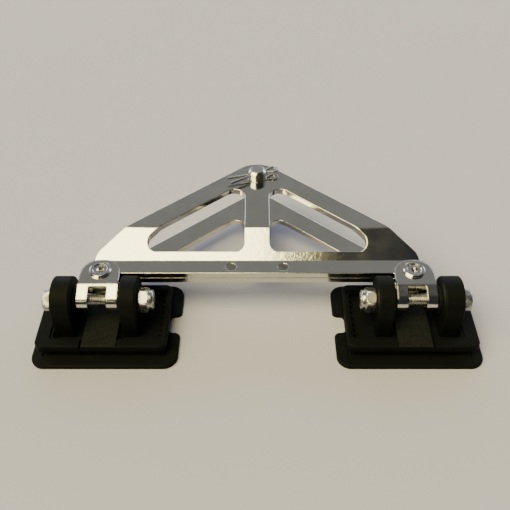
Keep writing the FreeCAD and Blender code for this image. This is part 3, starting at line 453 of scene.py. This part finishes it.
def make_nut(side, material):
    """Lock nut: a bevelled hexagon and a round collar that holds the nylon ring."""
    node = f"{side}_lock_nut"
    low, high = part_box(node)
    outward = 1 if side == "right" else -1
    seat = high.x if outward > 0 else low.x
    flats = min(high.z - low.z, high.y - low.y)

    def bevelled(reach):
        shape = hexagon(flats)
        return lambda bearing: min(shape(bearing), reach)

    corner = flats / 2 / math.cos(math.pi / 6)
    rings = [
        (0.0, bevelled(corner - 0.75 * MM)),
        (0.22 * MM, bevelled(corner - 0.35 * MM)),
        (0.6 * MM, bevelled(corner)),
        (4.5 * MM, bevelled(corner)),
        (5.0 * MM, bevelled(corner - 0.40 * MM)),
        (5.35 * MM, bevelled(corner - 0.85 * MM)),
        (5.6 * MM, 6.1 * MM),
        (5.75 * MM, 5.9 * MM),
        (7.1 * MM, 5.85 * MM),
        (7.7 * MM, 5.6 * MM),
        (8.0 * MM, 5.2 * MM),
        (7.98 * MM, 4.8 * MM),
        (7.7 * MM, 4.8 * MM),
        (7.7 * MM, 5.1 * MM),
        (5.5 * MM, 5.1 * MM),
        (5.5 * MM, 4.05 * MM),
        (0.0, 4.05 * MM),
    ]
    item = lathe(f"{side}_locking_nut", rings, closed=True)
    stand_on_bolt(item, seat, -outward, math.radians(NUT_SPIN))
    item.data.materials.append(material)
    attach(item, f"{side}_foot")
    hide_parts(node)


def cut_away(item, cutter):
    """Take the cutter's shape out of a piece for good, and remove the cutter."""
    drill = item.modifiers.new("drill", "BOOLEAN")
    drill.object = cutter
    drill.solver = "EXACT"
    seen = item.evaluated_get(bpy.context.evaluated_depsgraph_get())
    mesh = bpy.data.meshes.new_from_object(seen)
    item.modifiers.clear()
    item.data = mesh
    bpy.data.objects.remove(cutter)
    face_outward(mesh)


def make_pin(material):
    """Clevis pin: bevelled head below, chamfered top, drilled across for the split pin."""
    low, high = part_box("clevis_pin")
    middle = (low + high) / 2
    top = high.z - low.z
    rings = [
        (0.0, PIN_HEAD_RADIUS - PIN_EDGE),
        (PIN_EDGE, PIN_HEAD_RADIUS),
        (PIN_HEAD_HEIGHT - PIN_EDGE, PIN_HEAD_RADIUS),
        (PIN_HEAD_HEIGHT, PIN_HEAD_RADIUS - PIN_EDGE),
        (PIN_HEAD_HEIGHT, PIN_RADIUS),
        (top - PIN_BEVEL, PIN_RADIUS),
        (top - PIN_BEVEL * 0.25, PIN_RADIUS - PIN_BEVEL * 0.8),
        (top, PIN_RADIUS - PIN_BEVEL * 1.1),
    ]
    item = lathe("turned_clevis_pin", rings, closed=False)
    item.data.transform(Matrix.Translation((middle.x, middle.y, low.z)))
    reach = PIN_HEAD_RADIUS * 2
    drill = lathe("drill", [(-reach, CROSS_HOLE_RADIUS), (reach, CROSS_HOLE_RADIUS)], False, 48)
    along = Matrix.Rotation(CROSS_HOLE_TURN, 4, "Z") @ Matrix.Rotation(math.pi / 2, 4, "Y")
    place = Matrix.Translation((middle.x, middle.y, high.z - CROSS_HOLE_DROP))
    drill.data.transform(place @ along)
    cut_away(item, drill)
    item.data.materials.clear()
    item.data.materials.append(material)
    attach(item, "fork_pin")
    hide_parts("clevis_pin")


def give(material, *names):
    """Put a material in every slot of these CAD nodes."""
    for name in names:
        slots = nodes[name].material_slots
        if not slots:
            nodes[name].data.materials.append(material)
        for slot in slots:
            slot.material = material


def dress_frame():
    """Give every CAD node its material, and stand detailed pieces in for three kinds of node."""
    steel = polished_steel("polished_plate_steel", 0.6 * MM)
    folded = polished_steel("polished_strap_steel", 1.1 * MM)
    bolts = turned_steel("bright_bolt_steel", "X", BOLT_STEEL, 0.25)
    pins = turned_steel("bright_pin_steel", "Z", PIN_STEEL, 0.14)
    block = moulded_plastic("black_block_plastic", BLOCK_BLACK, BLOCK_WORN, 0.60, 0.012)
    bush = moulded_plastic("black_bush_plastic", BUSH_BLACK, BUSH_WORN, 0.52, 0.006)
    wire = turned_steel("drawn_wire_steel", "X", WIRE_STEEL, 0.3)
    ring = nylon()
    give(steel, "upper_plate", "lower_plate")
    give(pins, "clevis_pin")
    give(wire, "split_pin")
    make_pin(pins)
    for side in ("left", "right"):
        give(folded, f"{side}_hinge_strap")
        give(pins, f"{side}_strap_screw", f"{side}_sleeve_nut", f"{side}_shoe_screws")
        give(bolts, f"{side}_pivot_bolt", f"{side}_lock_nut")
        make_bolt(side, bolts)
        make_nut(side, bolts)
        give(block, f"{side}_slide_shoe", f"{side}_lug_block")
        give(bush, f"{side}_inner_bush", f"{side}_outer_bush")
        give(ring, f"{side}_lock_ring")


def make_floor():
    """A floor large enough to fill the view from any side."""
    mesh = bpy.data.meshes.new("floor")
    half = FLOOR_HALF
    corners = [(-half, -half, 0), (half, -half, 0), (half, half, 0), (-half, half, 0)]
    mesh.from_pydata(corners, [], [(0, 1, 2, 3)])
    floor = bpy.data.objects.new("floor", mesh)
    bpy.context.scene.collection.objects.link(floor)
    mesh.materials.append(floor_material())


def make_world():
    """A plain room: grey walls, a wide low window behind, a warm ceiling panel, a dim front.

    The panel is dim along VIEWER_WAY, as if somebody stood there. That way is fixed in the room.
    """
    world = bpy.data.worlds.new("studio")
    bpy.context.scene.world = world
    graph = Graph(world)
    way = graph.add("ShaderNodeTexCoord").outputs["Generated"]
    parts = graph.add("ShaderNodeSeparateXYZ", {"Vector": way}).outputs
    x, y, z = parts["X"], parts["Y"], parts["Z"]
    toward = graph.add("ShaderNodeVectorMath", {0: way, 1: VIEWER_WAY}, operation="DOT_PRODUCT")
    window = product(
        graph,
        ramp(graph, y, *WINDOW_BACK),
        ramp(graph, z, *WINDOW_SILL),
        ramp(graph, z, *WINDOW_TOP),
    )
    panel = product(
        graph,
        ramp(graph, x, *PANEL_RIGHT),
        ramp(graph, z, *PANEL_LOW),
        ramp(graph, y, *PANEL_BACK),
        ramp(graph, toward.outputs["Value"], *VIEWER_SHADE),
    )
    behind = ramp(graph, y, *WALL_TURN)
    walls = graph.mix(behind, colour(*FRONT_WALL), colour(*BACK_WALL))
    lit = graph.mix(window, walls, colour(*WINDOW_GLOW))
    glow = graph.mix(panel, lit, colour(*PANEL_GLOW))
    surface = graph.add("ShaderNodeBackground", {"Color": glow, "Strength": 1.0})
    output = graph.add("ShaderNodeOutputWorld")
    graph.tree.links.new(surface.outputs[0], output.inputs["Surface"])


def make_camera():
    """The camera at the viewing angle of the reference view."""
    camera = bpy.data.cameras.new("photo_view")
    camera.lens = CAMERA_LENS
    camera.shift_x, camera.shift_y = CAMERA_SHIFT
    camera.clip_start = 0.01
    item = bpy.data.objects.new("photo_view", camera)
    item.location = CAMERA_PLACE
    item.rotation_euler = (math.radians(CAMERA_TILT), 0, 0)
    bpy.context.scene.collection.objects.link(item)
    bpy.context.scene.camera = item


def plain(box):
    """A box as plain lists of numbers."""
    return [[float(part) for part in corner] for corner in box]


make_floor()
dress_frame()
make_world()
make_camera()
